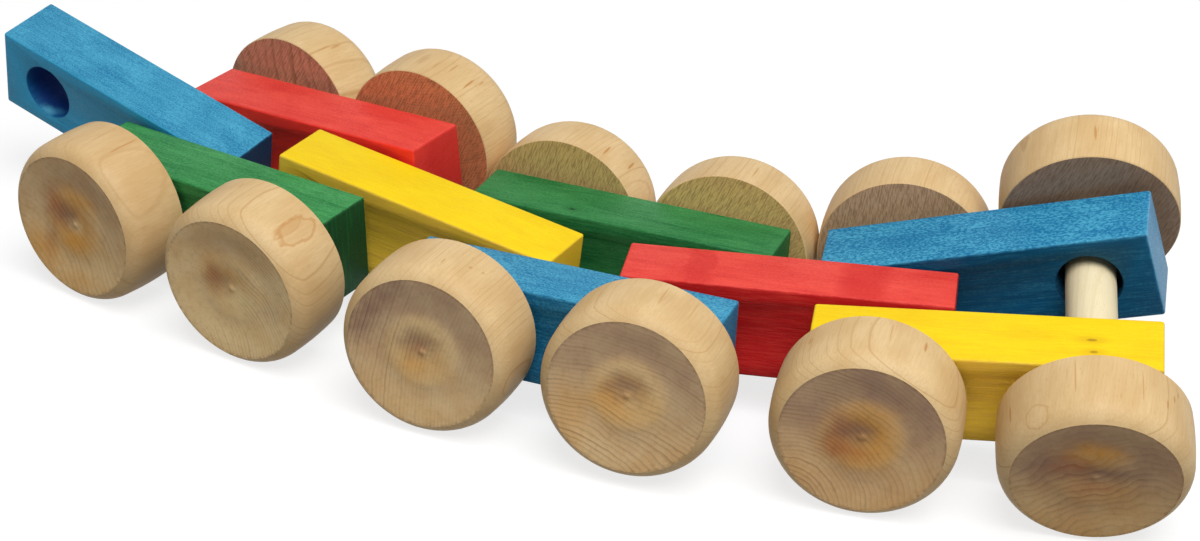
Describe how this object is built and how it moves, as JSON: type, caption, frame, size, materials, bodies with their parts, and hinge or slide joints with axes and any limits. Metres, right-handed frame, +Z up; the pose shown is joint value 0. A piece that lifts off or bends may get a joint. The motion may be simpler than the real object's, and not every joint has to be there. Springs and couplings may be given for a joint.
{
  "type": "wheeled pull toy",
  "caption": "Flexible wooden pull toy: a chain of coloured stained blocks threaded on loose dowels with turned maple wheels at both ends.",
  "frame": {"origin": "centre of the bounding box at the level of the floor that the wheels stand on", "axes": "+X runs along the chain from the head block to the last wheel pair, +Y from the front row of blocks to the back row, +Z up"},
  "size_m": [0.4365, 0.1708, 0.0924],
  "materials": {
    "blue_stain": "satin",
    "green_stain": "satin",
    "red_stain": "satin",
    "yellow_stain": "satin",
    "wheel_maple": "satin",
    "dowel_wood": "matte"
  },
  "bodies": {
    "middle_link_1": {"middle_block_1": "yellow_stain"},
    "axle_2": {"dowel_2": "dowel_wood"},
    "outer_link_1": {"front_block_1": "green_stain", "back_block_1": "red_stain"},
    "wheels_2": {"front_wheel_2": "wheel_maple", "back_wheel_2": "wheel_maple"},
    "axle_1": {"dowel_1": "dowel_wood"},
    "head_link": {"head_block": "blue_stain"},
    "wheels_1": {"front_wheel_1": "wheel_maple", "back_wheel_1": "wheel_maple"},
    "axle_3": {"dowel_3": "dowel_wood"},
    "outer_link_2": {"front_block_2": "blue_stain", "back_block_2": "green_stain"},
    "wheels_3": {"front_wheel_3": "wheel_maple", "back_wheel_3": "wheel_maple"},
    "axle_4": {"dowel_4": "dowel_wood"},
    "middle_link_2": {"middle_block_2": "red_stain"},
    "wheels_4": {"front_wheel_4": "wheel_maple", "back_wheel_4": "wheel_maple"},
    "axle_5": {"dowel_5": "dowel_wood"},
    "outer_link_3": {"front_block_3": "yellow_stain", "back_block_3": "blue_stain"},
    "wheels_5": {"front_wheel_5": "wheel_maple", "back_wheel_5": "wheel_maple"},
    "wheels_6": {"dowel_6": "dowel_wood", "front_wheel_6": "wheel_maple", "back_wheel_6": "wheel_maple"}
  },
  "joints": [
    {"name": "steer_2", "type": "hinge", "parent": "middle_link_1", "child": "axle_2", "pos_m": [-0.07083, -0.00427, 0.03472], "axis": [0, 0, 1], "range_deg": [-0.2, 7]},
    {"name": "bend_2", "type": "hinge", "parent": "axle_2", "child": "outer_link_1", "pos_m": [-0.07098, -0.00249, 0.03514], "axis": [0.1899, 0.9752, 0.1137], "range_deg": [-41, 58]},
    {"name": "bend_1", "type": "hinge", "parent": "outer_link_1", "child": "axle_1", "pos_m": [-0.13226, 0.01465, 0.03201], "axis": [0.2707, 0.9608, 0.0598], "range_deg": [-65, 34]},
    {"name": "steer_1", "type": "hinge", "parent": "axle_1", "child": "head_link", "pos_m": [-0.13276, 0.01287, 0.0319], "axis": [0, 0, 1], "range_deg": [-3, 4]},
    {"name": "steer_3", "type": "hinge", "parent": "middle_link_1", "child": "axle_3", "pos_m": [-0.00859, -0.01534, 0.0288], "axis": [0, 0, 1], "range_deg": [-7, 0.2]},
    {"name": "bend_3", "type": "hinge", "parent": "axle_3", "child": "outer_link_2", "pos_m": [-0.00811, -0.01535, 0.0288], "axis": [0.0578, 0.9983, 0], "range_deg": [-44, 55]},
    {"name": "bend_4", "type": "hinge", "parent": "outer_link_2", "child": "axle_4", "pos_m": [0.05433, -0.01832, 0.02997], "axis": [-0.0113, 0.9997, -0.0224], "range_deg": [-48, 51]},
    {"name": "steer_4", "type": "hinge", "parent": "axle_4", "child": "middle_link_2", "pos_m": [0.05426, -0.01785, 0.02928], "axis": [0, 0, 1], "range_deg": [-7, 0.15]},
    {"name": "steer_5", "type": "hinge", "parent": "middle_link_2", "child": "axle_5", "pos_m": [0.11693, -0.00799, 0.03199], "axis": [0, 0, 1], "range_deg": [-1, 0.15]},
    {"name": "bend_5", "type": "hinge", "parent": "axle_5", "child": "outer_link_3", "pos_m": [0.11677, -0.00723, 0.03244], "axis": [-0.1154, 0.991, 0.0672], "range_deg": [-40, 59]},
    {"name": "spin_1", "type": "hinge", "parent": "axle_1", "child": "wheels_1", "pos_m": [-0.13226, 0.01465, 0.03201], "axis": [0.2707, 0.9608, 0.0598], "continuous": true},
    {"name": "spin_2", "type": "hinge", "parent": "axle_2", "child": "wheels_2", "pos_m": [-0.07098, -0.00249, 0.03514], "axis": [0.1899, 0.9752, 0.1137], "continuous": true},
    {"name": "spin_3", "type": "hinge", "parent": "axle_3", "child": "wheels_3", "pos_m": [-0.00811, -0.01535, 0.0288], "axis": [0.0578, 0.9983, 0], "continuous": true},
    {"name": "spin_4", "type": "hinge", "parent": "axle_4", "child": "wheels_4", "pos_m": [0.05433, -0.01832, 0.02997], "axis": [-0.0113, 0.9997, -0.0224], "continuous": true},
    {"name": "spin_5", "type": "hinge", "parent": "axle_5", "child": "wheels_5", "pos_m": [0.11677, -0.00723, 0.03244], "axis": [-0.1154, 0.991, 0.0672], "continuous": true},
    {"name": "spin_6", "type": "hinge", "parent": "outer_link_3", "child": "wheels_6", "pos_m": [0.17809, -0.00084, 0.04619], "axis": [-0.206, 0.9268, 0.3141], "continuous": true}
  ]
}
